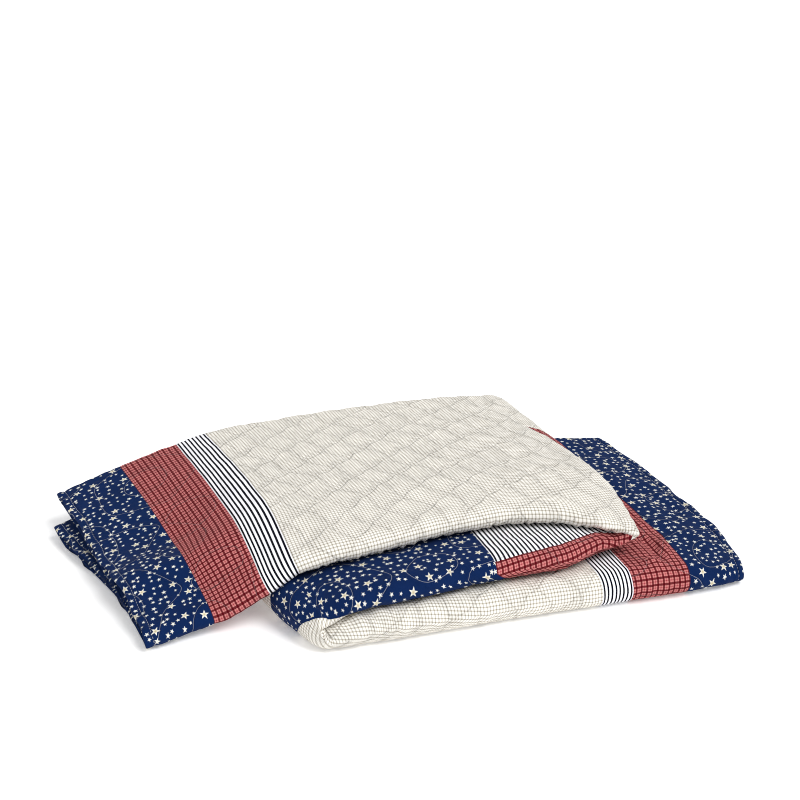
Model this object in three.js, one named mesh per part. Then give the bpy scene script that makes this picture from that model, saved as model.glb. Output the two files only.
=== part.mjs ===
// A pieced and quilted bed quilt, 90 by 90 inches, folded for a shelf.
// It is first folded in four across its length, hems inside, into one long packet, and that packet
// is then laid in three, like a letter Z seen from the front: bottom run, middle run, top run.
// The whole quilt is one closed sheet: its four-layer section is carried along the Z.
// Millimetres, +Z up, +X along the front edge of the bottom run, +Y to the back.
import * as THREE from 'three';

// Flat quilt and its cloth
const flatSide = 2286; // 90 inches, which the tables' last row ends on
const clothThickness = 5; // top, batting and backing, quilted together

// The four-layer section, in depth from its front fold
const packetDepth = 575; // a quarter of the flat side, and what the hems leave free
const noseLength = 30; // depth of the round front fold
const innerShare = 1 / 3; // the two inner layers lie at a third of the outer layers' offset
const upperHemDepth = 22; // the two tucked-in hems stop this far behind the front fold
const lowerHemDepth = 30;
const kneeShare = 0.35; // where along the depth the middle values of the tables hold

// At the free left end of the top run the lower pair of layers has slipped
const lowerFoldSetback = 62; // its back fold lies this far forward
const lowerHemReach = 26; // its hem reaches this far past the upper pair
const slipLength = 340; // the slip has died out this far from the hem

// How finely the sheet is faceted
const layerSteps = 8;
const noseSteps = 6;
const backTurnSteps = 4;
const runSteps = { top: 13, middle: 9, bottom: 10 };
const sideTurnSteps = 6;
const snapHeight = 0.4; // anything this close to the surface lies flat on it

// The three runs, one row for each place along the quilt.
// along: distance across the flat quilt from its left hem.
// front, knee and back give X; frontY and backY give the depth span.
// under...: height of the underside. half...: half of the packet's thickness, to the outer layers' middle.
const columns = [
  'along', 'frontX', 'kneeX', 'backX', 'frontY', 'backY',
  'underFront', 'underKnee', 'underBack', 'halfFront', 'halfKnee', 'halfBack',
];
const runs = {
  top: [
    [0, -444, -455, -470, -80, 435, 0, 1, 2, 11, 19, 24],
    [116, -330, -332, -350, -58, 441, 10, 28, 32, 16.5, 18.5, 22],
    [224, -246, -247, -250, -62, 450, 55, 80, 63, 17, 18, 20],
    [274, -198, -200, -203, -66, 456, 82, 98, 78, 17, 18, 19],
    [350, -126, -128, -130, -80, 460, 97, 100, 87, 17.5, 18, 19],
    [545, 70, 68, 64, -56, 460, 102.5, 101, 92, 18.5, 18, 19],
    [636, 161, 159, 154, -49, 458, 102.5, 101, 92, 18.5, 18, 19],
    [718, 243, 241, 234, -66, 452, 101.5, 101, 92, 17, 18, 19],
    [775, 300, 298, 288, -92, 446, 98, 100, 91.5, 13.5, 18, 18.5],
    [829, 354, 350, 336, -119, 440, 88, 98.5, 90, 10.5, 18, 18],
  ],
  middle: [
    [897, 354, 350, 336, -119, 440, 58, 55.5, 48.5, 10.5, 18, 17],
    [938, 315, 313, 300, -124, 438, 58.5, 55.5, 49, 16, 18, 18],
    [1030, 222, 221, 214, -157, 432, 59.5, 55.5, 49, 19, 18, 18],
    [1143, 108, 113, 118, -159, 425, 59.5, 55.5, 49, 19, 18, 18],
    [1322, -65, -66, -66, -178, 414, 59, 54.5, 48, 18.5, 17.5, 18],
    [1380, -124, -126, -128, -180, 410, 54.5, 50, 46, 16.5, 17, 17],
    [1450, -180, -209, -214, -178, 408, 30, 41, 39, 12.5, 15.5, 15.5],
  ],
  bottom: [
    [1510, -180, -209, -214, -178, 408, 0, 0, 0, 12, 15.5, 15.5],
    [1550, -144, -164, -168, -184, 406, 0, 0, 0, 17.5, 16.5, 17],
    [1635, -74, -78, -80, -190, 404, 0, 0, 0, 26.5, 21.5, 19.5],
    [1815, 97, 97, 95, -189, 400, 0, 0, 0, 26.5, 23, 20.5],
    [2012, 283, 287, 288, -194, 400, 0, 0, 0, 26.5, 23.5, 20.5],
    [2062, 331, 337, 338, -195, 401, 0, 0, 0, 26.5, 24, 20.5],
    [2170, 439, 452, 446, -192, 402, 0, 0, 0, 22.5, 23, 19.5],
    [flatSide, 549, 562, 550, -164, 400, 0, 0, 0, 10.5, 14, 13.5],
  ],
};

const clamp01 = (value) => Math.min(1, Math.max(0, value));
const mix = (a, b, share) => a + (b - a) * share;
const easeInOut = (value) => {
  const share = clamp01(value);
  return share * share * (3 - 2 * share);
};

// Slope at the middle of three knots that never overshoots them
function middleSlope(spanA, riseA, spanB, riseB) {
  const slopeA = riseA / spanA;
  const slopeB = riseB / spanB;
  if (slopeA * slopeB <= 0) return 0;
  const weightA = 2 * spanB + spanA;
  const weightB = spanB + 2 * spanA;
  return (weightA + weightB) / (weightA / slopeA + weightB / slopeB);
}

// Cubic between two knots with the given values and slopes
function cubic(share, span, from, to, slopeFrom, slopeTo) {
  const rest = 1 - share;
  return (1 + 2 * share) * rest * rest * from + share * rest * rest * span * slopeFrom
    + share * share * (3 - 2 * share) * to - share * share * rest * span * slopeTo;
}

// One smooth curve through all the rows of a run
function readRun(rows, along) {
  const last = rows.length - 1;
  let index = 0;
  while (index < last - 1 && along > rows[index + 1][0]) index += 1;
  const span = rows[index + 1][0] - rows[index][0];
  const share = (along - rows[index][0]) / span;
  const slopeAt = (row, column) => {
    const low = Math.max(0, Math.min(last - 1, row - 1));
    if (row === 0 || row === last) {
      return (rows[low + 1][column] - rows[low][column]) / (rows[low + 1][0] - rows[low][0]);
    }
    return middleSlope(
      rows[row][0] - rows[row - 1][0], rows[row][column] - rows[row - 1][column],
      rows[row + 1][0] - rows[row][0], rows[row + 1][column] - rows[row][column],
    );
  };
  const values = {};
  columns.forEach((name, column) => {
    values[name] = cubic(share, span, rows[index][column], rows[index + 1][column],
      slopeAt(index, column), slopeAt(index + 1, column));
  });
  return values;
}

// One smooth curve through the front, knee and back values, over the share of the depth
function overDepth(front, knee, back, depthShare) {
  const restShare = 1 - kneeShare;
  const slope = middleSlope(kneeShare, knee - front, restShare, back - knee);
  if (depthShare < kneeShare) {
    const startSlope = 1.5 * (knee - front) / kneeShare - 0.5 * slope;
    return cubic(clamp01(depthShare) / kneeShare, kneeShare, front, knee, startSlope, slope);
  }
  const endSlope = 1.5 * (back - knee) / restShare - 0.5 * slope;
  const share = (Math.min(1, depthShare) - kneeShare) / restShare;
  return cubic(share, restShare, knee, back, slope, endSlope);
}

// Middle of the packet at one station and share of the depth
function middleOfRun(row, depthShare) {
  const half = overDepth(row.halfFront, row.halfKnee, row.halfBack, depthShare);
  const under = overDepth(row.underFront, row.underKnee, row.underBack, depthShare);
  return {
    x: overDepth(row.frontX, row.kneeX, row.backX, depthShare),
    y: mix(row.frontY, row.backY, depthShare),
    z: under + half + clothThickness / 2,
    half,
  };
}

// Middle of the packet where it rolls over from one run into the run below it
function middleOfTurn(station, depthShare) {
  const upper = middleOfRun(station.upper, depthShare);
  const lower = middleOfRun(station.lower, depthShare);
  const share = (1 - Math.cos(station.angle)) / 2;
  const radius = (upper.z - lower.z) / 2;
  return {
    x: mix(upper.x, lower.x, share) + station.side * radius * Math.sin(station.angle),
    y: mix(upper.y, lower.y, share),
    z: (upper.z + lower.z) / 2 + radius * Math.cos(station.angle),
    half: mix(upper.half, lower.half, share),
  };
}

const middleAt = (station, depthShare) => (
  station.upper ? middleOfTurn(station, depthShare) : middleOfRun(station, depthShare)
);

// Stations along the Z: top run, right turn, middle run, left turn, bottom run
function buildStations() {
  const stations = [];
  const addRun = (rows, steps) => {
    const first = rows[0][0];
    const last = rows[rows.length - 1][0];
    for (let step = 0; step <= steps; step += 1) {
      stations.push(readRun(rows, mix(first, last, step / steps)));
    }
  };
  const addTurn = (upperRows, lowerRows, side) => {
    const upper = readRun(upperRows, upperRows[upperRows.length - 1][0]);
    const lower = readRun(lowerRows, lowerRows[0][0]);
    for (let step = 1; step < sideTurnSteps; step += 1) {
      const share = step / sideTurnSteps;
      stations.push({ upper, lower, side, angle: Math.PI * share, along: mix(upper.along, lower.along, share) });
    }
  };
  addRun(runs.top, runSteps.top);
  addTurn(runs.top, runs.middle, 1);
  addRun(runs.middle, runSteps.middle);
  addTurn(runs.middle, runs.bottom, -1);
  addRun(runs.bottom, runSteps.bottom);
  return stations;
}

// Middle line of the section, hem to hem, as depth and offset from the packet's middle
function sectionLine(halfAt) {
  const halfBack = halfAt(packetDepth);
  const turnRadius = halfBack * (1 - innerShare) / 2;
  const turnDepth = packetDepth - turnRadius;
  const turnMiddle = halfBack * (1 + innerShare) / 2;
  const line = [];
  const layer = (share, from, to) => {
    for (let step = 0; step <= layerSteps; step += 1) {
      const depth = mix(from, to, step / layerSteps);
      line.push([depth, share * halfAt(depth)]);
    }
  };
  const backTurn = (middle) => {
    for (let step = 1; step < backTurnSteps; step += 1) {
      const angle = Math.PI * (step / backTurnSteps - 0.5);
      line.push([turnDepth + turnRadius * Math.cos(angle), middle + turnRadius * Math.sin(angle)]);
    }
  };
  layer(innerShare, upperHemDepth, turnDepth);
  backTurn(turnMiddle);
  layer(1, turnDepth, noseLength);
  for (let step = 1; step < noseSteps; step += 1) {
    const angle = Math.PI * (0.5 - step / noseSteps);
    const depth = noseLength * (1 - Math.cos(angle));
    line.push([depth, halfAt(depth) * Math.sin(angle)]);
  }
  layer(-1, noseLength, turnDepth);
  backTurn(-turnMiddle);
  layer(-innerShare, turnDepth, lowerHemDepth);
  return line;
}

// The section's outline: the middle line with half of the cloth's thickness on each side
function sectionOutline(line) {
  const above = [];
  const below = [];
  line.forEach((point, index) => {
    const before = line[Math.max(0, index - 1)];
    const after = line[Math.min(line.length - 1, index + 1)];
    const along = new THREE.Vector2(after[0] - before[0], after[1] - before[1]).normalize();
    const offsetDepth = -along.y * clothThickness / 2;
    const offset = along.x * clothThickness / 2;
    above.push([point[0] + offsetDepth, point[1] + offset]);
    below.push([point[0] - offsetDepth, point[1] - offset]);
  });
  return above.concat(below.reverse());
}

// Place a point of the outline in space at one station
function placePoint(stations, index, depth, offset) {
  const station = stations[index];
  const slip = offset < 0 ? (1 - easeInOut(station.along / slipLength)) : 0;
  const slipShare = slip * easeInOut((depth - noseLength) / (packetDepth - noseLength));
  const depthShare = (depth - slipShare * lowerFoldSetback) / packetDepth;
  const middle = middleAt(station, depthShare);
  const before = middleAt(stations[Math.max(0, index - 1)], depthShare);
  const after = middleAt(stations[Math.min(stations.length - 1, index + 1)], depthShare);
  const path = new THREE.Vector2(after.x - before.x, after.z - before.z).normalize();
  const height = middle.z + path.x * offset;
  return [
    middle.x - path.y * offset - slipShare * lowerHemReach,
    middle.y,
    height < snapHeight ? 0 : height,
  ];
}

function buildQuilt() {
  const stations = buildStations();
  const positions = [];
  stations.forEach((station, index) => {
    const halfAt = (depth) => middleAt(station, depth / packetDepth).half;
    sectionOutline(sectionLine(halfAt)).forEach(([depth, offset]) => {
      positions.push(...placePoint(stations, index, depth, offset));
    });
  });
  const ringSize = positions.length / 3 / stations.length;
  const lineSize = ringSize / 2;
  const faces = [];
  for (let index = 0; index + 1 < stations.length; index += 1) {
    for (let point = 0; point < ringSize; point += 1) {
      const next = (point + 1) % ringSize;
      const near = index * ringSize;
      const far = near + ringSize;
      faces.push(near + point, far + point, near + next, near + next, far + point, far + next);
    }
  }
  // The two hem ends, each a strip between the two sides of the section
  const lastRing = (stations.length - 1) * ringSize;
  for (let point = 0; point + 1 < lineSize; point += 1) {
    const across = ringSize - 1 - point;
    faces.push(point, point + 1, across, point + 1, across - 1, across);
    faces.push(lastRing + point, lastRing + across, lastRing + point + 1);
    faces.push(lastRing + point + 1, lastRing + across, lastRing + across - 1);
  }
  const geometry = new THREE.BufferGeometry();
  geometry.setAttribute('position', new THREE.Float32BufferAttribute(positions, 3));
  geometry.setIndex(faces);
  // The origin is under the middle of the folded quilt
  geometry.computeBoundingBox();
  const middle = geometry.boundingBox.getCenter(new THREE.Vector3());
  geometry.translate(-middle.x, -middle.y, 0);
  geometry.computeVertexNormals();
  const cloth = new THREE.MeshStandardMaterial({ color: 0x2a3f78, roughness: 0.92, metalness: 0 });
  const quilt = new THREE.Mesh(geometry, cloth);
  quilt.name = 'quilt';
  return quilt;
}

const foldedQuilt = new THREE.Group();
foldedQuilt.add(buildQuilt());

export default foldedQuilt;
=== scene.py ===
import math

import bpy
import numpy as np
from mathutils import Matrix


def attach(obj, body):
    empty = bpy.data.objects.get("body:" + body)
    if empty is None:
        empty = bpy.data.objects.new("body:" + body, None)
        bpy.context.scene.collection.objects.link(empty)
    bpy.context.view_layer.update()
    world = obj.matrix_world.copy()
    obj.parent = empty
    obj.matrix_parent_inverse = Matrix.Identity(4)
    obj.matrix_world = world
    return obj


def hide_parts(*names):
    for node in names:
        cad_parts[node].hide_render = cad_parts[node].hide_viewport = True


# A star quilt, folded in four along its length and laid in three, seen as in its photograph.
# Metres, +Z up, in the part's own frame. Tables of cloth sizes are in millimetres.
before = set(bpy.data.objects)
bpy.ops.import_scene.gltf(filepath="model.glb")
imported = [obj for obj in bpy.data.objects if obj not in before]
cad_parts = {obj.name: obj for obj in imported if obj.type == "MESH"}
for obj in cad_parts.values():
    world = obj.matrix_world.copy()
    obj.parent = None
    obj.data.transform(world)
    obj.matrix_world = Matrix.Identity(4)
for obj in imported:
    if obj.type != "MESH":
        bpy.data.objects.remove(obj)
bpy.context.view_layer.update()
mm = 0.001

photoView = {
    "place": (-1.2473, -3.4728, 1.7695),  # metres
    "lookDown": 22,  # degrees below level
    "turn": -20,  # degrees round from square on to the front edge
    "lens": 108,  # mm, on the sensor's width
    "sensor": 36,
}

studio = {
    "floorSide": 24,  # metres
    "floorColour": "fdfdfd",
    "floorGlow": 0.22,  # a floor lit from below, which hardly shows a shadow
    "skyColour": "ffffff",
    "skyStrength": 0.6,
    # each lamp, far off and wide: degrees above level, degrees round from the front to the right,
    # width in degrees, strength in watts on a square metre
    "lamps": {
        "keyLamp": (52, 35, 36, 2.0),
        "fillLamp": (40, -60, 70, 0.26),
    },
}

flatQuilt = {
    "side": 2286,  # 90 inches
    "navyBorder": 116,  # widths from the edge inwards
    "redBorder": 102,
    "tickingBorder": 55,
    "starRadius": 520,  # centre to tip
    "starAt": (1143, 1173),
    "hemStitch": 13,  # the topstitching's distance from the edge
    "turnedHem": 10,  # the pieced side turned over the edge on to the backing
}

cloth = {
    "thickness": 5,
    "packetDepth": 575,  # the folded packet, front fold to back fold
    "noseLength": 30,  # depth of the round front fold
    "innerShare": 1 / 3,
    "upperHemDepth": 22,
    "lowerHemDepth": 30,
    "kneeShare": 0.35,
    "lowerFoldSetback": 62,  # the lower pair's slip at the free left end
    "lowerHemReach": 32.5,
    "lowerHemHollow": 8,
    "partMiddle": (35.775, 132.5),  # the tables' point over the part's origin
    "slipLength": 340,
    "hemWander": 2.4,
    "hemWanderLength": 70,
    "hemWanderReach": 26,
    "wrinkleLengths": (24, 60),
    "wrinkleHeight": 0.4,
    "stitchedDepth": 0.4,  # how far the stitches draw a free face in
    "gatherEase": 25,
    "noseHeld": (24, 48),  # depths behind the front fold between which it stops being free to puff
    # distances between which cloth becomes free to puff: before the top run, past the right end of the
    # runs above, and off the floor
    "frontFree": (4, 30),
    "endFree": (-5, 40),
    "floorFree": (2, 20),
}

# The three runs of the Z, one row for each place along the quilt. X, Y and heights in mm:
# along, then X, depth span, underside and half thickness at the front, at the knee and at the back
rowNames = ("along", "frontX", "kneeX", "backX", "frontY", "backY",
            "underFront", "underKnee", "underBack", "halfFront", "halfKnee", "halfBack")
topRun = [
    (0, -443, -450, -463, -80, 434, 0, 1, 5, 11, 19, 26.5),
    (116, -330, -332, -350, -58, 443, 10, 28, 36, 13.5, 18.5, 26),
    (218, -241, -238, -247, -62, 451, 48, 77, 65, 14, 18, 23),
    (273, -191, -188, -195, -66, 456, 78, 96.5, 79, 14, 18, 21),
    (350, -118, -120, -124, -80, 460, 97, 100, 87, 14.5, 18, 19),
    (545, 70, 68, 64, -56, 460, 102.5, 101, 92, 15.5, 18, 19),
    (636, 161, 159, 154, -49, 458, 102.5, 101, 92, 15.5, 18, 19),
    (718, 243, 241, 234, -66, 452, 101.5, 101, 92, 14, 18, 19),
    (775, 305, 298, 288, -94, 446, 97, 100, 91.5, 9.5, 18, 18.5),
    (843, 370, 350, 336, -127, 440, 87.5, 98.5, 90, 4.5, 18, 18),
]
middleRun = [
    (911, 336, 342, 336, -125, 440, 71, 55.5, 48.5, 5.5, 18, 17),
    (938, 310, 311, 303, -129, 438, 68, 55.5, 49, 9, 18, 18),
    (1030, 222, 220, 214, -157, 432, 60, 55.5, 49, 18, 18, 18),
    (1143, 110, 119, 126, -159, 425, 59.5, 55.5, 49, 19, 18, 18),
    (1322, -65, -66, -66, -178, 414, 59, 54.5, 48, 18.5, 17.5, 18),
    (1380, -124, -126, -128, -176, 410, 54.5, 50, 46, 16.5, 17, 17),
    (1450, -173, -202, -210, -166, 408, 34.5, 41, 39, 10.3, 15.5, 15.5),
]
bottomRun = [
    (1510, -173, -202, -210, -181, 408, 0, 0, 0, 14, 15.5, 15.5),
    (1550, -140, -160, -166, -187, 406, 0, 0, 0, 20.5, 17, 17),
    (1580, -114, -129, -134, -187, 405, 0, 0, 0, 24, 19, 18),
    (1635, -76, -80, -82, -190, 404, 0, 0, 0, 26.5, 21.5, 19.5),
    (1815, 93, 93, 92, -189, 400, 0, 0, 0, 26.5, 23, 20.5),
    (2013, 281, 287, 288, -194, 400, 0, 0, 0, 26.5, 23.5, 20.5),
    (2068, 334, 342, 341, -195, 401, 0, 0, 0, 26.5, 24, 20.5),
    (2170, 436, 448, 437, -196, 402, 0, 0, 0, 23, 23, 19.5),
    (2286, 545, 564, 545, -184, 400, 0, 0, 0, 12, 15, 14),
]

# Spacing of the mesh on the cloth, mm
meshing = {
    "run": 7.0,
    "turn": 3.4,
    "hem": (1, 2.5, 5, 8, 11, 13, 15, 18),
    "seenLayer": 6.6,
    "hiddenLayer": 36,
    "underLayer": 24,
    "noseSteps": 14,
    "backTurnSteps": 8,
    "frontStrip": 150,  # how far back the underside keeps the fine spacing
    "backingEvery": 3,  # the reverse keeps one column in so many
}

# How the outer layers' cloth creeps round the two rolled-over ends, and how far the patchwork has
# slipped across the front fold. Place along the quilt and slip, mm
creep = {
    "upperLayer": ((0, 0), (843, 0), (911, 92), (985, 46), (1143, 28), (1380, 0), (2286, 0)),
    "lowerLayer": ((0, 0), (1450, 0), (1510, 64), (2000, 0), (2286, 0)),
    "frontFold": ((0, 0), (760, 0), (843, 10), (911, -3), (938, -12), (1038, -6), (1143, 8), (1300, 14),
                  (1420, 31), (1470, 56), (1560, 38), (1800, 0), (2286, 0)),
    # a pinch of cloth drawn to the upper run's right tip, and where it lies across the quilt
    "foldTip": ((0, 0), (800, 0), (872, 32), (985, 0), (2286, 0)),
    "foldTipMiddle": 1160,
    "foldTipHalfWidth": 24,
}

# The quilting, in mm
quilting = {
    "diagonalAngle": -38,  # degrees, on the cream ground
    "diagonalSpacing": 62,
    "scallopLength": 56,
    "scallopDepth": 5.5,
    "crossDirection": (0.92, -0.40),
    "crossSpacing": 52,
    "crossWave": 7,
    "crossWaveLength": 124,
    # loops on the navy and red pieces, from waves in several headings, degrees
    "loopLength": 104,
    "loopHeadings": (8, 37, 71, 108, 150),
    "loopPhases": (0.4, 2.1, 5.0, 3.3, 1.2),
    "loopLeastSlope": 0.4,
    "puffOnGround": 1.7,
    "puffOnPrints": 1.2,
    "puffOnTicking": 0.8,
    "softness": 9,  # how far from a stitch the batting has risen
    "seamSoftness": 6,
    "hemSoftness": 3,
}

outOfReach = 1000  # mm, a distance at which no stitch or seam shows


def linear(hexColour):
    # sRGB hex to linear red, green, blue, alpha
    parts = [int(hexColour[i:i + 2], 16) / 255 for i in (0, 2, 4)]
    return tuple(c / 12.92 if c <= 0.04045 else ((c + 0.055) / 1.055) ** 2.4 for c in parts) + (1.0,)


def addCamera():
    data = bpy.data.cameras.new("photoCamera")
    data.lens = photoView["lens"]
    data.sensor_width = photoView["sensor"]
    camera = bpy.data.objects.new("photoCamera", data)
    camera.location = photoView["place"]
    camera.rotation_euler = (math.radians(90 - photoView["lookDown"]), 0, math.radians(photoView["turn"]))
    bpy.context.scene.collection.objects.link(camera)
    bpy.context.scene.camera = camera


addCamera()
print("camera set")


def between(low, high, value):
    # 0 below low, 1 above high, with an eased step between
    share = np.clip((value - low) / (high - low), 0, 1)
    return share * share * (3 - 2 * share)


def hermite(share, span, start, end, startSlope, endSlope):
    # cubic between two values with given slopes
    rest = 1 - share
    return ((1 + 2 * share) * rest ** 2 * start + share * rest ** 2 * span * startSlope
            + share ** 2 * (3 - 2 * share) * end - share ** 2 * rest * span * endSlope)


def middleSlope(spanA, slopeA, spanB, slopeB):
    # weighted harmonic mean of two slopes, or none where they disagree in sign
    agree = slopeA * slopeB > 0
    slopeA, slopeB = np.where(agree, slopeA, 1), np.where(agree, slopeB, 1)
    weightA, weightB = 2 * spanB + spanA, spanB + 2 * spanA
    return np.where(agree, (weightA + weightB) / (weightA / slopeA + weightB / slopeB), 0)


def readRun(rows, along):
    # one smooth curve through a run's rows, for every place along it
    rows = np.array(rows, float)
    span = np.diff(rows[:, 0])[:, None]
    slope = np.diff(rows, axis=0) / span
    inner = middleSlope(span[:-1], slope[:-1], span[1:], slope[1:])
    slopes = np.vstack([slope[:1], inner, slope[-1:]])
    index = np.clip(np.searchsorted(rows[:, 0], along) - 1, 0, len(span) - 1)
    share = ((along - rows[index, 0]) / span[index, 0])[:, None]
    values = hermite(share, span[index], rows[index], rows[index + 1], slopes[index], slopes[index + 1])
    return dict(zip(rowNames, values.T[:, :, None]))


def overDepth(front, knee, back, share):
    # one smooth curve through the front, knee and back values, over the share of the depth
    kneeShare = cloth["kneeShare"]
    rest = 1 - kneeShare
    slope = middleSlope(kneeShare, (knee - front) / kneeShare, rest, (back - knee) / rest)
    near = hermite(np.clip(share, 0, 1) / kneeShare, kneeShare, front, knee,
                   1.5 * (knee - front) / kneeShare - 0.5 * slope, slope)
    far = hermite((np.minimum(share, 1) - kneeShare) / rest, rest, knee, back,
                  slope, 1.5 * (back - knee) / rest - 0.5 * slope)
    return np.where(share < kneeShare, near, far)


def middleOfRun(run, share):
    # the packet's middle at a share of the depth: X, Y, Z and half thickness
    half = overDepth(run["halfFront"], run["halfKnee"], run["halfBack"], share)
    under = overDepth(run["underFront"], run["underKnee"], run["underBack"], share)
    return (overDepth(run["frontX"], run["kneeX"], run["backX"], share),
            run["frontY"] + (run["backY"] - run["frontY"]) * share,
            under + half + cloth["thickness"] / 2, half)


def makeStations():
    # Places along the quilt, and for each the run above and the run below it: the same one on a run,
    # and the two that a half circle joins on a rolled-over end. Angle is the place on that half circle.
    hem = np.array(meshing["hem"])
    upper, lower, angle, side = [], [], [], []

    def addRun(rows, firstHem, lastHem):
        first, last = rows[0][0], rows[-1][0]
        start = first + (hem[-1] if firstHem else 0)
        end = last - (hem[-1] if lastHem else 0)
        places = np.linspace(start, end, int(round((end - start) / meshing["run"])) + 1)
        if firstHem:
            places = np.concatenate([[first], first + hem[:-1], places])
        if lastHem:
            places = np.concatenate([places, last - hem[-2::-1], [last]])
        run = readRun(rows, places)
        upper.append(run)
        lower.append(run)
        angle.append(np.zeros(len(places)))
        side.append(np.zeros(len(places)))

    def addTurn(above, below, direction):
        first, last = above[-1][0], below[0][0]
        steps = int(round((last - first) / meshing["turn"]))
        share = np.arange(1, steps) / steps
        upper.append(readRun(above, np.full(steps - 1, float(first))))
        lower.append(readRun(below, np.full(steps - 1, float(last))))
        angle.append(math.pi * share)
        side.append(np.full(steps - 1, float(direction)))

    addRun(topRun, True, False)
    addTurn(topRun, middleRun, 1)
    addRun(middleRun, False, False)
    addTurn(middleRun, bottomRun, -1)
    addRun(bottomRun, False, True)
    joined = [{name: np.concatenate([part[name] for part in parts]) for name in rowNames}
              for parts in (upper, lower)]
    return joined[0], joined[1], np.concatenate(angle)[:, None], np.concatenate(side)[:, None]


def middleAt(stations, index, share):
    # middle of the packet: (X, Y, Z, half thickness) at those stations and shares of the depth
    upper, lower, angle, side = stations
    above = middleOfRun({name: upper[name][index] for name in rowNames}, share)
    below = middleOfRun({name: lower[name][index] for name in rowNames}, share)
    lean = (1 - np.cos(angle[index])) / 2
    radius = (above[2] - below[2]) / 2
    x = above[0] + (below[0] - above[0]) * lean + side[index] * radius * np.sin(angle[index])
    y = above[1] + (below[1] - above[1]) * lean
    z = (above[2] + below[2]) / 2 + radius * np.cos(angle[index])
    return x, y, z, above[3] + (below[3] - above[3]) * lean


def sectionLine(stations, index):
    # The cloth's middle line through the four layers, hem to hem, at every station: depth behind the
    # front fold, and offset from the packet's middle as a share of its half thickness
    def halfAt(depth):
        return middleAt(stations, index, depth / cloth["packetDepth"])[3]

    inner = cloth["innerShare"]
    nose = cloth["noseLength"]
    halfBack = halfAt(np.full((len(index), 1), float(cloth["packetDepth"])))
    turnRadius = halfBack * (1 - inner) / 2
    turnDepth = cloth["packetDepth"] - turnRadius
    turnMiddle = halfBack * (1 + inner) / 2
    depths, offsets = [], []

    def layer(level, start, end, spacing):
        length = float(np.mean(abs(end - start)))
        share = np.linspace(0, 1, int(round(length / spacing)) + 1)[None, :]
        depth = start + (end - start) * share
        depths.append(depth)
        offsets.append(level * halfAt(depth))

    def backTurn(level):
        turn = (math.pi * (np.arange(1, meshing["backTurnSteps"]) / meshing["backTurnSteps"] - 0.5))[None, :]
        depths.append(turnDepth + turnRadius * np.cos(turn))
        offsets.append(level * turnMiddle + turnRadius * np.sin(turn))

    ones = np.ones((len(index), 1))
    strip = meshing["frontStrip"]
    layer(inner, cloth["upperHemDepth"] * ones, turnDepth, meshing["hiddenLayer"])
    backTurn(1)
    layer(1, turnDepth, nose * ones, meshing["seenLayer"])
    angle = (math.pi * (0.5 - np.arange(1, meshing["noseSteps"]) / meshing["noseSteps"]))[None, :]
    depth = nose * (1 - np.cos(angle)) * ones
    depths.append(depth)
    offsets.append(halfAt(depth) * np.sin(angle))
    layer(-1, nose * ones, strip * ones, meshing["seenLayer"])
    depths[-1], offsets[-1] = depths[-1][:, :-1], offsets[-1][:, :-1]
    layer(-1, strip * ones, turnDepth, meshing["underLayer"])
    backTurn(-1)
    layer(-inner, turnDepth, cloth["lowerHemDepth"] * ones, meshing["hiddenLayer"])
    return np.hstack(depths), np.hstack(offsets)


def layMiddle():
    # The folded cloth's middle surface, and each point's place on the flat quilt, all in mm
    stations = makeStations()
    count = len(stations[2])
    index = np.arange(count)
    depth, offset = sectionLine(stations, index)
    angle = stations[2]
    along = (stations[0]["along"] + (stations[1]["along"] - stations[0]["along"]) * angle / math.pi)
    slip = (1 - between(0, cloth["slipLength"], along)) * (offset < 0)
    slip = slip * between(cloth["noseLength"], cloth["packetDepth"], depth)
    reach = slip ** 2.5 * cloth["lowerHemReach"] - slip * (1 - slip) * cloth["lowerHemHollow"]
    share = (depth - slip * cloth["lowerFoldSetback"]) / cloth["packetDepth"]
    x, y, z, half = middleAt(stations, index, share)
    before = middleAt(stations, np.maximum(index - 1, 0), share)
    after = middleAt(stations, np.minimum(index + 1, count - 1), share)
    pathX, pathZ = after[0] - before[0], after[2] - before[2]
    length = np.hypot(pathX, pathZ)
    pathX, pathZ = pathX / length, pathZ / length
    place = np.stack([x - pathZ * offset - reach, y, z + pathX * offset], -1)
    # across: the length of the section line from its first hem, made to end at the flat side
    step = np.hypot(np.diff(depth, axis=1), np.diff(offset, axis=1))
    across = np.hstack([np.zeros((count, 1)), np.cumsum(step, axis=1)])
    across = across / across[:, -1:] * flatQuilt["side"]
    # along creeps with the layer, and the patchwork's slip over the front fold dies out at the hems
    level = offset / half
    creepUp = np.interp(along, *zip(*creep["upperLayer"])) * np.clip(level, 0, 1)
    creepDown = np.interp(along, *zip(*creep["lowerLayer"])) * np.clip(-level, 0, 1)
    fold = np.interp(along, *zip(*creep["frontFold"])) * np.sin(math.pi * across / flatQuilt["side"]) ** 2
    pinch = np.exp(-((across - creep["foldTipMiddle"]) / creep["foldTipHalfWidth"]) ** 2)
    drawn = creepUp + creepDown + np.interp(along, *zip(*creep["foldTip"])) * pinch
    return place, depth, offset, along * np.ones_like(depth), along + drawn, across + fold


def edgeDistance(along, across):
    # distance to the flat quilt's nearest edge
    side = flatQuilt["side"]
    return np.minimum(np.minimum(along, side - along), np.minimum(across, side - across))


def starDistance(along, across):
    # distance outside the five-pointed star's nearest edge line, less than 0 inside it: the angle
    # from a tip is folded into a tenth of a turn, where the star has one straight edge
    centre, radius = flatQuilt["starAt"], flatQuilt["starRadius"]
    x, y = along - centre[0], across - centre[1]
    tenth = math.pi / 5
    angle = abs((np.arctan2(x, y) + tenth) % (2 * tenth) - tenth)
    return np.hypot(x, y) * np.cos(angle - 2 * tenth) - radius * math.cos(2 * tenth)


def nearLine(value, spacing):
    # distance to the nearest of evenly spaced lines
    return abs(value / spacing - np.round(value / spacing)) * spacing


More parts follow.
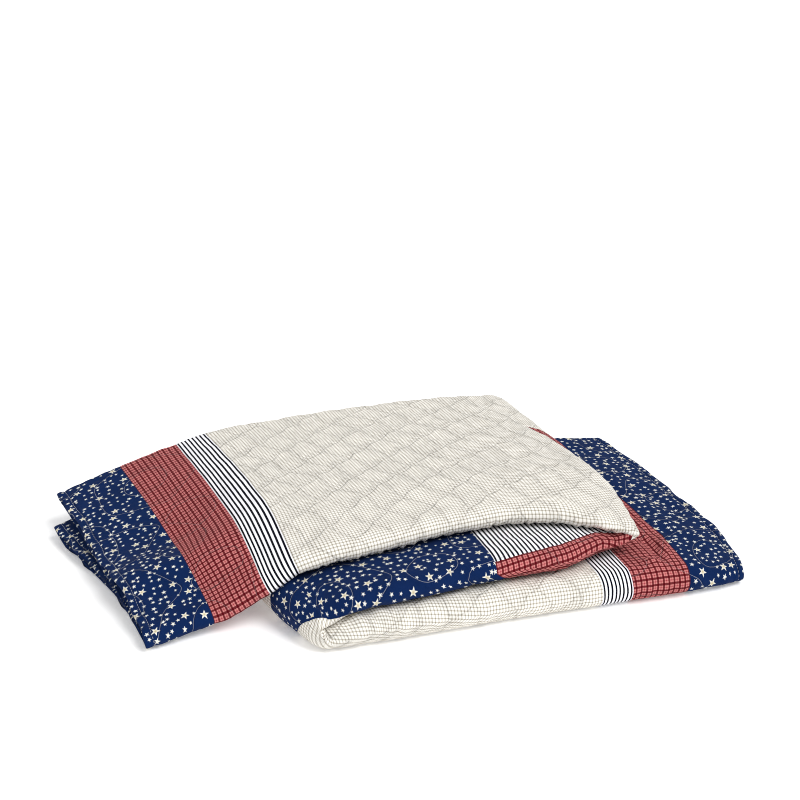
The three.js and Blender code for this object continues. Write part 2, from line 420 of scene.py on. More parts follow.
def loopDistance(along, across):
    # distance to the looping stitches, less than 0 on one side: they run where waves in several
    # headings sum to nothing, so the distance is near to that sum over its slope
    q = quilting
    rate = 2 * math.pi / q["loopLength"]
    total, slopeX, slopeY = 0, 0, 0
    for heading, phase in zip(np.radians(q["loopHeadings"]), q["loopPhases"]):
        wave = rate * (along * np.cos(heading) + across * np.sin(heading)) + phase
        total = total + np.sin(wave)
        slopeX = slopeX + rate * np.cos(wave) * np.cos(heading)
        slopeY = slopeY + rate * np.cos(wave) * np.sin(heading)
    return total / np.sqrt(slopeX ** 2 + slopeY ** 2 + (q["loopLeastSlope"] * rate) ** 2)


def quiltingRelief(along, across):
    # Height of the batting between the stitches, mm: none on a stitch or seam, and rising away from it
    q = quilting
    edge = edgeDistance(along, across)
    star = starDistance(along, across)
    borders = np.cumsum([flatQuilt[name] for name in ("navyBorder", "redBorder", "tickingBorder")])
    turn = math.radians(q["diagonalAngle"])
    forward = along * math.cos(turn) + across * math.sin(turn)
    diagonal = (across * math.cos(turn) - along * math.sin(turn)
                - q["scallopDepth"] * abs(np.sin(math.pi * forward / q["scallopLength"])))
    crossX, crossY = q["crossDirection"]
    cross = (along * crossX + across * crossY + q["crossWave"]
             * np.sin(2 * math.pi * (across * crossX - along * crossY) / q["crossWaveLength"]))

    def rise(distance, softness):
        return 1 - np.exp(-distance / softness)

    ground = (q["puffOnGround"] * rise(nearLine(diagonal, q["diagonalSpacing"]), q["softness"])
              * rise(nearLine(cross, q["crossSpacing"]), q["softness"]))
    prints = q["puffOnPrints"] * rise(abs(loopDistance(along, across)), q["softness"])
    starSeam = np.where(edge > borders[-1], abs(star), outOfReach)
    seam = np.minimum.reduce([abs(edge - border) for border in borders] + [starSeam])
    centre = flatQuilt["starAt"]
    inside = (star < 0) & (edge > borders[-1])
    seam = np.where(inside, np.minimum(seam, abs(along - centre[0])), seam)
    seam = np.where(inside & (along < centre[0]), np.minimum(seam, abs(across - centre[1])), seam)
    ticking = (edge > borders[1]) & (edge < borders[2])
    puff = np.where((edge > borders[-1]) & (star > 0), ground, np.where(ticking, q["puffOnTicking"], prints))
    hem = rise(abs(edge - flatQuilt["hemStitch"]), q["hemSoftness"])
    return puff * rise(seam, q["seamSoftness"]) * hem


def hemTaper(along, across):
    # Share of the full thickness near the turned edge: rounded over its last few millimetres
    edge = edgeDistance(along, across)
    return np.interp(edge, (0, 1, 2.5, 5, 11, 13, 15, 18), (0.42, 0.75, 0.95, 1.05, 1.0, 0.72, 0.9, 1.0))


# Main creases and swells, placed on the flat quilt. Along and across of the middle, direction
# in degrees, half length, half width and height (less than 0 is a trough), all in mm
folds = [
    # the ridge over the rolled corner beneath, down to the left end, and the hollow behind it
    (95, 985, 20, 112, 58, 16),
    (80, 845, 38, 115, 55, -4.5),
    # the top's slow fall to its front fold, and swells in its batting
    (560, 1000, 0, 330, 72, 6),
    (430, 905, 32, 90, 36, 2.6),
    (650, 850, -28, 100, 40, 3),
    (330, 760, 62, 85, 34, -2.6),
    (560, 740, 8, 110, 42, 2.4),
    (175, 700, 74, 100, 40, 3),
    # the crease beside the upper run's right tip, and the pucker at its end
    (2137, 1042, 92, 44, 9, -7.5),
    (2158, 1050, 96, 46, 12, 4),
    (2117, 1094, 30, 13, 8, 4),
    (2215, 1000, 64, 60, 15, 3),
    (2235, 880, 80, 70, 14, -3),
    (2200, 760, 100, 80, 18, 3),
    # the dimple on the left roll, and the wrinkles under the mouth between the two lower runs
    (1474, 1200, 64, 12, 5, -7),
    (1545, 1172, 80, 15, 6, -3),
    (1572, 1156, 84, 22, 9, 3),
    (1598, 1148, 74, 14, 6, -4),
    (1622, 1150, 98, 18, 8, 2.6),
    (1645, 1152, 102, 16, 6, -2.6),
    # slacker places along the lower front fold
    (1760, 1150, 12, 60, 14, 2),
    (1900, 1185, -10, 70, 16, -2),
    (2240, 1140, 70, 26, 10, 3),
]


# Short wrinkles gathered along the folded edges, running across them. From and to along the quilt,
# the across of their middle, half width, wavelength and height, all in mm
gathers = [
    (274, 843, 1166, 26, 15, 1.6),
    (850, 1450, 1122, 22, 19, 1.0),
    (1500, 2170, 1165, 32, 22, 0.9),
    (2090, 2286, 980, 230, 19, 0.9),
]


def ripple(x, y, wavelength, seed, count=14, spread=math.pi):
    # Smooth uneven noise between about -1 and 1: a sum of waves of like length in many directions
    random = np.random.default_rng(seed)
    total = np.zeros_like(x)
    turns = random.uniform(-0.5, 0.5, count) * spread
    stretches = random.uniform(0.7, 1.5, count)
    phases = random.uniform(0, 2 * math.pi, count)
    for turn, stretch, phase in zip(turns, stretches, phases):
        rate = 2 * math.pi / (wavelength * stretch)
        total += np.sin((x * math.cos(turn) + y * math.sin(turn)) * rate + phase)
    return total / math.sqrt(count)


def freeShare(place, depth, offset, along):
    # How free each point's outward side is to puff, 0 to 1: not where one run presses on another
    onTop = along <= topRun[-1][0]
    onMiddle = (along >= middleRun[0][0]) & (along <= middleRun[-1][0])
    onBottom = along >= bottomRun[0][0]
    inTurn = ~(onTop | onMiddle | onBottom)
    outerUp = offset > 0
    nose = 1 - between(*cloth["noseHeld"], depth)
    topFront = np.interp(place[..., 0], [row[1] for row in topRun], [row[4] for row in topRun])
    openFront = between(*cloth["frontFree"], topFront - place[..., 1])
    pastEnd = between(*cloth["endFree"], place[..., 0] - middleRun[0][1])
    free = np.where(onTop, np.where(outerUp, 1.0, nose), 0.0)
    free = np.where(onMiddle, np.where(outerUp, nose, openFront), free)
    offFloor = nose * between(*cloth["floorFree"], place[..., 2])
    free = np.where(onBottom, np.where(outerUp, np.maximum(nose, pastEnd), offFloor), free)
    return np.where(inTurn, np.where(outerUp == (along < middleRun[0][0]), 1.0, nose), free)


def foldHeight(along, across):
    # Sum of the placed folds, mm: each a bell across its line, level along it and fading at its ends
    total = np.zeros_like(across)
    for foldAlong, foldAcross, heading, halfLength, halfWidth, height in folds:
        turn = math.radians(heading)
        overU, overV = along - foldAlong, across - foldAcross
        forward = overU * math.cos(turn) + overV * math.sin(turn)
        aside = overV * math.cos(turn) - overU * math.sin(turn)
        total += height * np.exp(-(aside / halfWidth) ** 2) * np.exp(-(forward / halfLength) ** 4)
    return total


def gatherHeight(along, across):
    # Sum of the gathers, mm: ripples under a bell across the edge, eased in and out at their ends
    total = np.zeros_like(across)
    ease = cloth["gatherEase"]
    for start, end, middleAcross, halfWidth, wavelength, height in gathers:
        bell = np.exp(-((across - middleAcross) / halfWidth) ** 2)
        eased = between(start - ease, start + ease, along) * (1 - between(end - ease, end + ease, along))
        total += height * bell * eased * ripple(along, across, wavelength, seed=9, spread=0.7)
    return total


def shapeQuilt():
    # Both sides of the cloth in metres, in the part's frame, and each point's place on the flat quilt
    place, depth, offset, along, patchAlong, patchAcross = layMiddle()
    alongStep = np.gradient(place, axis=0)
    acrossStep = np.gradient(place, axis=1)
    outward = np.cross(acrossStep, alongStep)
    outward /= np.linalg.norm(outward, axis=-1, keepdims=True)

    # an inner layer doesn't puff, but moves in the folds with the outer layer it lies against. The
    # fold lifts both the same way, and the inner one's own outward side faces the other way
    bothLayers = freeShare(place, depth, offset, along)
    inner = abs(offset) < cloth["innerShare"] * 1.5 * abs(offset).max(axis=1, keepdims=True)
    inner = inner & (depth > cloth["noseLength"])
    free = np.where(inner, 0.0, bothLayers)
    facing = np.where(inner, -1.0, 1.0)
    side = flatQuilt["side"]
    foldAcross = np.where(patchAcross < side / 4, side / 2 - patchAcross, patchAcross)
    foldAcross = np.where(patchAcross > side * 3 / 4, side * 3 / 2 - patchAcross, foldAcross)
    short, long = [ripple(patchAlong, patchAcross, length, seed=seed)
                   for length, seed in zip(cloth["wrinkleLengths"], (3, 4))]
    loose = gatherHeight(along, patchAcross) + cloth["wrinkleHeight"] * (short + long)
    lift = bothLayers * facing * foldHeight(along, foldAcross) + free * loose
    moved = place + outward * lift[..., None]

    # the hems at the two ends wander a little
    fromEnd = np.minimum(along, side - along)
    wander = (cloth["hemWander"] * ripple(patchAcross, 0 * patchAcross, cloth["hemWanderLength"], seed=12)
              * np.exp(-fromEnd / cloth["hemWanderReach"]))
    moved = moved + alongStep / np.linalg.norm(alongStep, axis=-1, keepdims=True) * wander[..., None]

    half = cloth["thickness"] / 2 * hemTaper(patchAlong, patchAcross)
    puff = quiltingRelief(patchAlong, patchAcross) - cloth["stitchedDepth"]
    face = moved + outward * (half + free * puff)[..., None]
    reverse = moved - outward * half[..., None]
    for surface in (face, reverse):
        surface[..., :2] -= cloth["partMiddle"]
        surface[..., 2] = np.maximum(surface[..., 2], 0)
    return face * mm, reverse * mm, np.stack([patchAlong, patchAcross], -1) * mm


def makeQuilt():
    # One closed mesh: the pieced face on a fine grid, the backing on every third column of it, and
    # strips round the hem between the two
    face, reverse, flat = shapeQuilt()
    rows, columns = face.shape[:2]
    kept = np.unique(np.append(np.arange(0, columns, meshing["backingEvery"]), columns - 1))
    reverse, reverseFlat = reverse[:, kept], flat[:, kept]
    points = np.concatenate([face.reshape(-1, 3), reverse.reshape(-1, 3)])
    places = np.concatenate([flat.reshape(-1, 2), reverseFlat.reshape(-1, 2)])
    faceIndex = np.arange(rows * columns).reshape(rows, columns)
    backIndex = np.arange(rows * len(kept)).reshape(rows, len(kept)) + rows * columns

    def quads(a, b, c, d):
        return np.stack([a, b, c, d], -1).reshape(-1, 4).tolist()

    shown = quads(faceIndex[:-1, :-1], faceIndex[:-1, 1:], faceIndex[1:, 1:], faceIndex[1:, :-1])
    backing = quads(backIndex[:-1, :-1], backIndex[1:, :-1], backIndex[1:, 1:], backIndex[:-1, 1:])
    hems = quads(faceIndex[:-1, 0], faceIndex[1:, 0], backIndex[1:, 0], backIndex[:-1, 0])
    hems += quads(faceIndex[:-1, -1], backIndex[:-1, -1], backIndex[1:, -1], faceIndex[1:, -1])
    for row, firstEnd in ((0, True), (rows - 1, False)):
        for column, (start, end) in enumerate(zip(kept[:-1], kept[1:])):
            edge = faceIndex[row, start:end + 1].tolist()
            ring = edge[::-1] + [int(backIndex[row, column]), int(backIndex[row, column + 1])]
            hems.append(ring if firstEnd else ring[::-1])
    mesh = bpy.data.meshes.new("starQuilt")
    mesh.from_pydata(points.tolist(), [], shown + backing + hems)
    corners = np.zeros(len(mesh.loops), np.int32)
    mesh.loops.foreach_get("vertex_index", corners)
    layer = mesh.uv_layers.new(name="flatQuilt")
    layer.data.foreach_set("uv", places[corners].astype(np.float32).ravel())
    loops = loopDistance(places[:, 0] / mm, places[:, 1] / mm).astype(np.float32)
    mesh.attributes.new("loopDistance", "FLOAT", "POINT").data.foreach_set("value", loops)
    slots = np.zeros(len(mesh.polygons), np.int32)
    slots[len(shown):len(shown) + len(backing)] = 1
    mesh.polygons.foreach_set("material_index", slots)
    mesh.polygons.foreach_set("use_smooth", np.ones(len(mesh.polygons), bool))
    mesh.update()
    quilt = bpy.data.objects.new("starQuilt", mesh)
    bpy.context.scene.collection.objects.link(quilt)
    print("quilt:", rows, "by", columns, "points,", 2 * len(shown) + 2 * len(backing), "triangles")
    return quilt


quilt = makeQuilt()


def add(tree, kind, *values, **settings):
    # adds a node with its settings. Its values, in the order of its inputs, are numbers, colours,
    # outputs, or nodes that stand for their first output
    made = tree.nodes.new("ShaderNode" + kind)
    for name, value in settings.items():
        setattr(made, name, value)
    for socket, value in zip([socket for socket in made.inputs if socket.enabled], values):
        if isinstance(value, bpy.types.Node):
            value = [output for output in value.outputs if output.enabled][0]
        if isinstance(value, bpy.types.NodeSocket):
            tree.links.new(value, socket)
        elif value is not None:
            socket.default_value = value
    return made


colours = {
    "navy": "0a234f",
    "starCream": "e2e2db",
    "starTan": "c6b891",
    "groundCream": "f2efe8",
    "groundTan": "968d7c",
    "tickingWhite": "f4f4f8",
    "tickingNavy": "050615",
    "plaidRose": "cb7f7c",
    "plaidFine": "95303c",
    "plaidRed": "56020f",
    "thread": "dcdde2",
}

printed = {  # mm
    "bigStarCell": 46,
    "bigStarUneven": 0.7,  # how far the stars leave an even grid, 0 to 1
    "bigStar": 8.2,
    "tanHeart": (0.5, 4.5),
    "smallStarCell": 14.4,
    "smallStarUneven": 0.62,
    "mediumStar": 4.8,
    "smallStar": 2.9,
    "starLean": 71.6,  # degrees: 72 draws a sharp star, less a plumper one
    "clearOfBigStar": 12,
    "checkPitch": 5.6,
    "checkLine": 1.9,
    "borderTicking": 6.875,
    "borderTickingLine": 3.0,
    "starTicking": 8.2,
    "starTickingLine": 3.5,
    "plaidPitch": 9.6,
    "plaidLine": 3.3,
    "plaidFineLine": 1.5,
    "plaidPower": 0.16,  # at 1 a lone line is half as dark as a crossing, near 0 just as dark
    "plainByStarSeam": 3.0,
}

stitching = {
    "threadWidth": 0.8,  # mm
    "pitch": 6.4,
    "length": 3.4,
    "hemThreadWidth": 1.0,
    "needleHoleReach": 0.9,
    # share of the thread's colour, because it is drawn wider than it is
    "threadOnRed": 0.12,
    "threadOnNavy": 0.27,
    "addedOnStar": 0.2,
    "threadOnHem": 0.42,
    # share of the light lost: painted shade in the needle holes and the ditches
    "needleHoleShade": 0.18,
    "ditchShade": 0.07,
}

relief = {  # mm
    "stitchDitch": (3.0, 1.2),  # width and depth
    "seamDitch": (2.4, 0.9),
    "shadeWidth": (1.8, 1.4),  # beside stitches, and beside seams
    "puckerLength": 10,
    "puckerHeight": 4.4,
    "puckerReach": 16.0,
    "wrinkleLength": 22,
    "wrinkleHeight": 1.6,
    "weaveLength": 1.2,
    "weaveHeight": 0.22,
    "fadeLength": 45,
    "fade": (0.93, 1.05),  # the wash's palest and fullest tint
}


def lines(tree, place, pitch, width):
    # 1 within lines of that width that repeat at the pitch, 0 between them
    distance = add(tree, "Math", place, pitch / 2, operation="PINGPONG")
    return add(tree, "Math", distance, width / 2, operation="LESS_THAN")


def starOutline(tree, local, turn, lean):
    # distance of the straight edge facing each point of a five-pointed star: its angle is folded into
    # a tenth of a turn. The point is inside where this is less than the reach times cosine of the lean
    parts = add(tree, "SeparateXYZ", local)
    angle = add(tree, "Math", parts.outputs["X"], parts.outputs["Y"], operation="ARCTAN2")
    turned = add(tree, "Math", angle, turn, operation="ADD")
    folded = add(tree, "Math", turned, math.pi / 5, -math.pi / 5, operation="WRAP")
    size = add(tree, "Math", folded, operation="ABSOLUTE")
    leant = add(tree, "Math", size, lean, operation="SUBTRACT")
    cosine = add(tree, "Math", leant, operation="COSINE")
    length = add(tree, "VectorMath", local, operation="LENGTH")
    return add(tree, "Math", cosine, length, operation="MULTIPLY")


def tossedStars(tree, place, cell, uneven):
    # a star in each cell of an uneven grid: its centre, the place from there, a random share, and its
    # outline as starOutline gives it
    cells = add(tree, "TexVoronoi", place, 1 / cell, 0, 0.5, 2, uneven, voronoi_dimensions="2D")
    local = add(tree, "VectorMath", place, cells.outputs["Position"], operation="SUBTRACT")
    random = add(tree, "SeparateColor", cells.outputs["Color"])
    turn = add(tree, "Math", random, 2 * math.pi, operation="MULTIPLY")
    outline = starOutline(tree, local, turn, math.radians(printed["starLean"]))
    return {"centre": cells.outputs["Position"], "local": local, "random": random.outputs["Green"],
            "outline": outline}


def starPrint(tree, place):
    # Navy cotton printed with tossed cream stars in three sizes, the big ones tan at the heart. The
    # eye takes the even scatter of the middle sizes first, then the big stars on their own wide grid
    tip = math.cos(math.radians(printed["starLean"]))
    cell, uneven = printed["bigStarCell"], printed["bigStarUneven"]
    stars = tossedStars(tree, place, cell, uneven)
    big = add(tree, "Math", stars["outline"], printed["bigStar"] * tip, operation="LESS_THAN")
    fromHeart = add(tree, "VectorMath", stars["local"], operation="LENGTH")
    heartShare = add(tree, "MapRange", fromHeart, *printed["tanHeart"], 1.0, 0.0)
    bigColour = add(tree, "Mix", heartShare, linear(colours["starCream"]), linear(colours["starTan"]),
                    data_type="RGBA")
    stars = tossedStars(tree, place, printed["smallStarCell"], printed["smallStarUneven"])
    reach = add(tree, "MapRange", stars["random"], 0.05, 0.95,
                printed["smallStar"] * tip, printed["mediumStar"] * tip)
    small = add(tree, "Math", stars["outline"], reach, operation="LESS_THAN")
    nearBig = add(tree, "TexVoronoi", stars["centre"], 1 / cell, 0, 0.5, 2, uneven, voronoi_dimensions="2D")
    clear = add(tree, "Math", nearBig, printed["clearOfBigStar"] / cell, operation="GREATER_THAN")
    shown = add(tree, "Math", small, clear, operation="MULTIPLY")
    ground = add(tree, "Mix", shown, linear(colours["navy"]), linear(colours["starCream"]), data_type="RGBA")
    return add(tree, "Mix", big, ground, bigColour, data_type="RGBA")


def plaidPrint(tree, u, v):
    # Pink cotton with dark red lines both ways and a fine rose line midway between them, darkest where
    # the lines cross, as where both the warp and the weft are dyed
    pitch, wide, fine = printed["plaidPitch"], printed["plaidLine"], printed["plaidFineLine"]
    half = [add(tree, "Math", axis, pitch / 2, operation="ADD") for axis in (u, v)]
    fineLines = [lines(tree, axis, pitch, fine) for axis in half]
    dark = [lines(tree, axis, pitch, wide) for axis in (u, v)]
    fineShare = add(tree, "Math", fineLines[0], fineLines[1], operation="ADD")
    fineHalf = add(tree, "Math", fineShare, 0.5, operation="MULTIPLY")
    colour = add(tree, "Mix", fineHalf, linear(colours["plaidRose"]), linear(colours["plaidFine"]),
                 data_type="RGBA")
    darkShare = add(tree, "Math", dark[0], dark[1], operation="ADD")
    darkHalf = add(tree, "MapRange", darkShare, 0.0, 2.0, 0.0, 1.0)
    strength = add(tree, "Math", darkHalf, printed["plaidPower"], operation="POWER")
    return add(tree, "Mix", strength, colour, linear(colours["plaidRed"]), data_type="RGBA")


def checkPrint(tree, u, v):
    # Cream cotton with a small tan check, palest between the lines and strongest where they cross
    pitch, width = printed["checkPitch"], printed["checkLine"]
    both = add(tree, "Math", lines(tree, u, pitch, width), lines(tree, v, pitch, width), operation="ADD")
    share = add(tree, "Math", both, 0.5, operation="MULTIPLY")
    return add(tree, "Mix", share, linear(colours["groundCream"]), linear(colours["groundTan"]),
               data_type="RGBA")


def tickingPrint(tree, place, pitch, width):
    # White ticking with fine near-black navy stripes
    return add(tree, "Mix", lines(tree, place, pitch, width), linear(colours["tickingWhite"]),
               linear(colours["tickingNavy"]), data_type="RGBA")


def groundStitches(tree, place):
    # distance to the wavy diagonals and to the waves that cross them, as in quiltingRelief
    q = quilting
    turn = math.radians(q["diagonalAngle"])
    forward = add(tree, "VectorMath", place, (math.cos(turn), math.sin(turn), 0), operation="DOT_PRODUCT")
    aside = add(tree, "VectorMath", place, (-math.sin(turn), math.cos(turn), 0), operation="DOT_PRODUCT")
    phase = add(tree, "Math", forward.outputs["Value"], math.pi / q["scallopLength"], operation="MULTIPLY")
    scallop = add(tree, "Math", add(tree, "Math", phase, operation="SINE"), operation="ABSOLUTE")
    diagonal = add(tree, "Math", scallop, -q["scallopDepth"], aside.outputs["Value"],
                   operation="MULTIPLY_ADD")
    toDiagonal = add(tree, "Math", diagonal, q["diagonalSpacing"] / 2, operation="PINGPONG")
    crossX, crossY = q["crossDirection"]
    over = add(tree, "VectorMath", place, (crossX, crossY, 0), operation="DOT_PRODUCT")
    along = add(tree, "VectorMath", place, (-crossY, crossX, 0), operation="DOT_PRODUCT")
    wavePhase = add(tree, "Math", along.outputs["Value"], 2 * math.pi / q["crossWaveLength"],
                    operation="MULTIPLY")
    wave = add(tree, "Math", add(tree, "Math", wavePhase, operation="SINE"), q["crossWave"],
               over.outputs["Value"], operation="MULTIPLY_ADD")
    toCross = add(tree, "Math", wave, q["crossSpacing"] / 2, operation="PINGPONG")
    return add(tree, "Math", toDiagonal, toCross, operation="MINIMUM")


def hollow(tree, distance, width):
    # 1 at no distance, fading smoothly to 0 over the width
    return add(tree, "MapRange", distance, 0.0, width, 1.0, 0.0, interpolation_type="SMOOTHSTEP")


def clothSurface(material, colour, height, roughness):
    # Matt washed cotton: almost no gloss, and a faint sheen from its raised fibres
    tree = material.node_tree
    surface = tree.nodes["Principled BSDF"]
    surface.inputs["Roughness"].default_value = roughness
    surface.inputs["Specular IOR Level"].default_value = 0.06
    surface.inputs["Sheen Weight"].default_value = 0.02
    surface.inputs["Sheen Roughness"].default_value = 0.5
    bump = add(tree, "Bump", 1.0, mm, None, height)
    tree.links.new(colour.outputs["Result"], surface.inputs["Base Color"])
    tree.links.new(bump.outputs["Normal"], surface.inputs["Normal"])


def weaveHeight(tree, place):
    # Plain weave. Its threads are about 0.4 mm, too fine to show here, so they are drawn three times
    # as coarse, with the slubs of a cheap yarn
    weave = add(tree, "TexNoise", place, 1 / relief["weaveLength"], 1, 0.5, 2, 0, noise_dimensions="2D")
    return add(tree, "Math", weave, relief["weaveHeight"], operation="MULTIPLY")


def flatPlace(tree):
    # the place on the flat quilt in mm, its two parts, and the distance to the nearest edge
    metres = add(tree, "UVMap", uv_map="flatQuilt")
    place = add(tree, "VectorMath", metres, operation="SCALE")
    place.inputs["Scale"].default_value = 1 / mm
    parts = add(tree, "SeparateXYZ", place)
    u, v = parts.outputs["X"], parts.outputs["Y"]
    edges = [add(tree, "Math", axis, flatQuilt["side"] / 2, operation="PINGPONG") for axis in (u, v)]
    return place, u, v, add(tree, "Math", edges[0], edges[1], operation="MINIMUM")


def away(tree, value, level):
    # how far a value is from a level
    return add(tree, "Math", add(tree, "Math", value, level, operation="SUBTRACT"), operation="ABSOLUTE")


def bigStarEdge(tree, place):
    # distance outside the big star's outline, less than 0 inside it, as in starDistance
    centre = flatQuilt["starAt"]
    local = add(tree, "VectorMath", place, (centre[0], centre[1], 0), operation="SUBTRACT")
    outline = starOutline(tree, local, 0.0, 2 * math.pi / 5)
    return add(tree, "Math", outline, flatQuilt["starRadius"] * math.cos(2 * math.pi / 5),
               operation="SUBTRACT")


def patchwork(tree, place, u, v, edge, borders, starEdge, inStar, isNavy):
    # the printed cottons in their patches, from the ground outwards
    stars = starPrint(tree, place)
    plaid = plaidPrint(tree, u, v)
    starTicking = tickingPrint(tree, u, printed["starTicking"], printed["starTickingLine"])
    isTicking = add(tree, "Math", v, flatQuilt["starAt"][1], operation="GREATER_THAN")
    printedHalf = add(tree, "Mix", isTicking, plaid.outputs["Result"], starTicking.outputs["Result"],
                      data_type="RGBA")
    # no printed star is cut by the big star's own seam, which so keeps a crisp dark edge
    offSeam = add(tree, "Math", starEdge, -printed["plainByStarSeam"], operation="LESS_THAN")
    navyHalf = add(tree, "Mix", offSeam, linear(colours["navy"]), stars.outputs["Result"], data_type="RGBA")
    starColour = add(tree, "Mix", isNavy, printedHalf.outputs["Result"], navyHalf.outputs["Result"],
                     data_type="RGBA")
    colour = add(tree, "Mix", inStar, checkPrint(tree, u, v).outputs["Result"],
                 starColour.outputs["Result"], data_type="RGBA")
    tickingAt = add(tree, "Math", edge, borders[1] + printed["borderTicking"] / 2, operation="SUBTRACT")
    borderTicking = tickingPrint(tree, tickingAt, printed["borderTicking"], printed["borderTickingLine"])
    for limit, patch in zip(borders[::-1], (borderTicking, plaid, stars)):
        inside = add(tree, "Math", edge, limit, operation="LESS_THAN")
        colour = add(tree, "Mix", inside, colour.outputs["Result"], patch.outputs["Result"],
                     data_type="RGBA")
    return colour


def reliefHeight(tree, place, stitchOrHem, seam):
    # mm: soft wrinkles and weave all over, puckers beside the stitches, ditches at stitches and seams
    r = relief
    softWrinkle = add(tree, "TexNoise", place, 1 / r["wrinkleLength"], 2, 0.5, 2, 0.2, noise_dimensions="2D")
    height = add(tree, "Math", softWrinkle, r["wrinkleHeight"], weaveHeight(tree, place),
                 operation="MULTIPLY_ADD")
    pucker = add(tree, "TexNoise", place, 1 / r["puckerLength"], 2, 0.55, 2, 0.3, noise_dimensions="2D")
    raised = add(tree, "Math", pucker, r["puckerHeight"], operation="MULTIPLY")
    puckers = add(tree, "Math", raised, hollow(tree, stitchOrHem, r["puckerReach"]), operation="MULTIPLY")
    height = add(tree, "Math", height, puckers, operation="ADD")
    for distance, (width, depth) in ((stitchOrHem, r["stitchDitch"]), (seam, r["seamDitch"])):
        height = add(tree, "Math", hollow(tree, distance, width), -depth, height, operation="MULTIPLY_ADD")
    return height


def piecedTop():
    # Printed quilting cottons, pieced and quilted: matt, crisp at the seams, puckered at the stitches
    material = bpy.data.materials.new("piecedPrintedCotton")
    material.use_nodes = True
    tree = material.node_tree
    place, u, v, edge = flatPlace(tree)
    borders = np.cumsum([flatQuilt[name] for name in ("navyBorder", "redBorder", "tickingBorder")]).tolist()
    starEdge = bigStarEdge(tree, place)
    inStar = add(tree, "Math", starEdge, 0.0, operation="LESS_THAN")
    isNavy = add(tree, "Math", u, flatQuilt["starAt"][0], operation="GREATER_THAN")
    colour = patchwork(tree, place, u, v, edge, borders, starEdge, inStar, isNavy)

    # stitches: on the ground, in loops on the navy and red, and round the hem
    onGround = add(tree, "Math", add(tree, "Math", edge, borders[2], operation="GREATER_THAN"),
                   add(tree, "Math", starEdge, 0.0, operation="GREATER_THAN"), operation="MULTIPLY")
    inTicking = add(tree, "Math", add(tree, "Math", edge, borders[1], operation="GREATER_THAN"),
                    add(tree, "Math", edge, borders[2], operation="LESS_THAN"), operation="MULTIPLY")
    loopAside = add(tree, "Attribute", attribute_name="loopDistance")
    loops = add(tree, "Math", loopAside.outputs["Fac"], operation="ABSOLUTE")
    loopsKept = add(tree, "Math", inTicking, outOfReach, loops, operation="MULTIPLY_ADD")
    stitch = add(tree, "Mix", onGround, loopsKept, groundStitches(tree, place))
    fromHem = away(tree, edge, flatQuilt["hemStitch"])
    dashes = lines(tree, add(tree, "Math", u, v, operation="ADD"), stitching["pitch"], stitching["length"])
    inHemThread = add(tree, "Math", fromHem, stitching["hemThreadWidth"] / 2, operation="LESS_THAN")
    hemThread = add(tree, "Math", inHemThread, dashes, operation="MULTIPLY")

    # how much of each thread shows: none on the ground and ticking, most on the star's navy
    onNavy = add(tree, "Math", edge, borders[0], operation="LESS_THAN")
    loopShare = add(tree, "Mix", onNavy, stitching["threadOnRed"], stitching["threadOnNavy"])
    starNavy = add(tree, "Math", inStar, isNavy, operation="MULTIPLY")
    share = add(tree, "Math", starNavy, stitching["addedOnStar"], loopShare, operation="MULTIPLY_ADD")
    thread = add(tree, "Math", stitch, stitching["threadWidth"] / 2, operation="LESS_THAN")
    onLight = add(tree, "Math", onGround, inTicking, operation="ADD")
    threadShown = add(tree, "Math", add(tree, "Math", thread, share, operation="MULTIPLY"),
                      add(tree, "Math", 1.0, onLight, operation="SUBTRACT"), operation="MULTIPLY")
    hemShown = add(tree, "Math", hemThread, stitching["threadOnHem"], operation="MULTIPLY")
    anyThread = add(tree, "Math", threadShown, hemShown, operation="MAXIMUM")

    # painted shade in the needle holes and ditches, and the faint unevenness of washed cotton
    outside = add(tree, "Math", add(tree, "Math", edge, borders[2], operation="LESS_THAN"), outOfReach,
                  add(tree, "Math", starEdge, operation="ABSOLUTE"), operation="MULTIPLY_ADD")
    seam = outside
    for limit in borders:
        seam = add(tree, "Math", seam, away(tree, edge, limit), operation="MINIMUM")
    stitchOrHem = add(tree, "Math", stitch, fromHem, operation="MINIMUM")
    atNeedle = add(tree, "Math", stitch, stitching["needleHoleReach"], operation="LESS_THAN")
    needleHoles = add(tree, "Math", add(tree, "Math", atNeedle, onGround, operation="MULTIPLY"), dashes,
                      operation="MULTIPLY")
    besideStitch, besideSeam = relief["shadeWidth"]
    depth = add(tree, "Math", hollow(tree, stitchOrHem, besideStitch), hollow(tree, seam, besideSeam),
                operation="MAXIMUM")
    dark = add(tree, "Math", needleHoles, stitching["needleHoleShade"],
               add(tree, "Math", depth, stitching["ditchShade"], operation="MULTIPLY"),
               operation="MULTIPLY_ADD")
    fade = add(tree, "TexNoise", place, 1 / relief["fadeLength"], 3, 0.6, 2, 0, noise_dimensions="2D")
    fadeShare = add(tree, "MapRange", fade, 0.3, 0.7, *relief["fade"])
    shade = add(tree, "Math", fadeShare, dark, operation="SUBTRACT")
    shaded = add(tree, "VectorMath", colour.outputs["Result"], operation="SCALE")
    tree.links.new(shade.outputs[0], shaded.inputs["Scale"])
    finished = add(tree, "Mix", anyThread, shaded, linear(colours["thread"]), data_type="RGBA")
    clothSurface(material, finished, reliefHeight(tree, place, stitchOrHem, seam), 0.9)
    return material


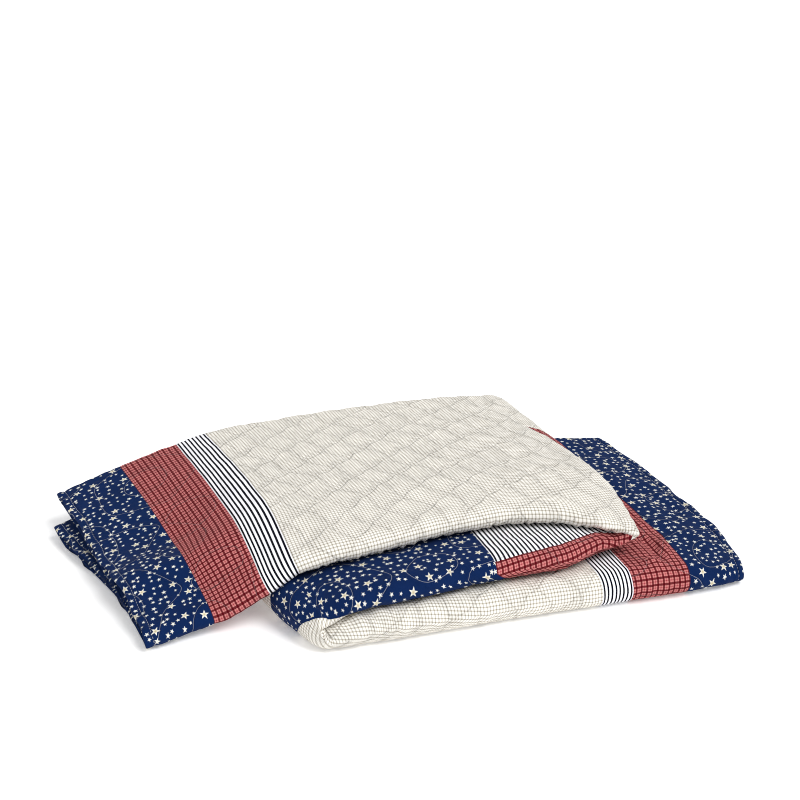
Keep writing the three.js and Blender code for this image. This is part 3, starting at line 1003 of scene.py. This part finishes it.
def backingCloth():
    # Plain-woven rose and red plaid backing cotton, under the navy hem that is turned over it
    material = bpy.data.materials.new("plaidBackingCotton")
    material.use_nodes = True
    tree = material.node_tree
    place, u, v, edge = flatPlace(tree)
    turnedOver = add(tree, "Math", edge, flatQuilt["turnedHem"], operation="LESS_THAN")
    colour = add(tree, "Mix", turnedOver, plaidPrint(tree, u, v).outputs["Result"],
                 starPrint(tree, place).outputs["Result"], data_type="RGBA")
    clothSurface(material, colour, weaveHeight(tree, place), 0.92)
    return material


quilt.data.materials.append(piecedTop())
quilt.data.materials.append(backingCloth())
print("cloth made")


def addStudio():
    # A plain pale floor, wide soft lamps and a pale sky
    side = studio["floorSide"] / 2
    mesh = bpy.data.meshes.new("floor")
    corners = [(-side, -side, 0), (side, -side, 0), (side, side, 0), (-side, side, 0)]
    mesh.from_pydata(corners, [], [(0, 1, 2, 3)])
    floor = bpy.data.objects.new("floor", mesh)
    bpy.context.scene.collection.objects.link(floor)
    paint = bpy.data.materials.new("mattFloorPaint")
    paint.use_nodes = True
    tree = paint.node_tree
    surface = tree.nodes["Principled BSDF"]
    surface.inputs["Roughness"].default_value = 0.95
    surface.inputs["Specular IOR Level"].default_value = 0.1
    surface.inputs["Base Color"].default_value = linear(studio["floorColour"])
    surface.inputs["Emission Color"].default_value = linear(studio["floorColour"])
    surface.inputs["Emission Strength"].default_value = studio["floorGlow"]
    mesh.materials.append(paint)
    for name, (height, turn, width, strength) in studio["lamps"].items():
        data = bpy.data.lights.new(name, "SUN")
        data.angle, data.energy = math.radians(width), strength
        lamp = bpy.data.objects.new(name, data)
        lamp.rotation_euler = (math.radians(90 - height), 0, math.radians(turn))
        bpy.context.scene.collection.objects.link(lamp)
    world = bpy.data.worlds.new("studioSky")
    world.use_nodes = True
    sky = world.node_tree.nodes["Background"]
    sky.inputs["Color"].default_value = linear(studio["skyColour"])
    sky.inputs["Strength"].default_value = studio["skyStrength"]
    bpy.context.scene.world = world
    bpy.context.scene.view_settings.view_transform = "Standard"
    bpy.context.scene.cycles.filter_width = 1.0


addStudio()
print("studio set")

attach(quilt, "root")
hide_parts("quilt")

bpy.context.view_layer.update()
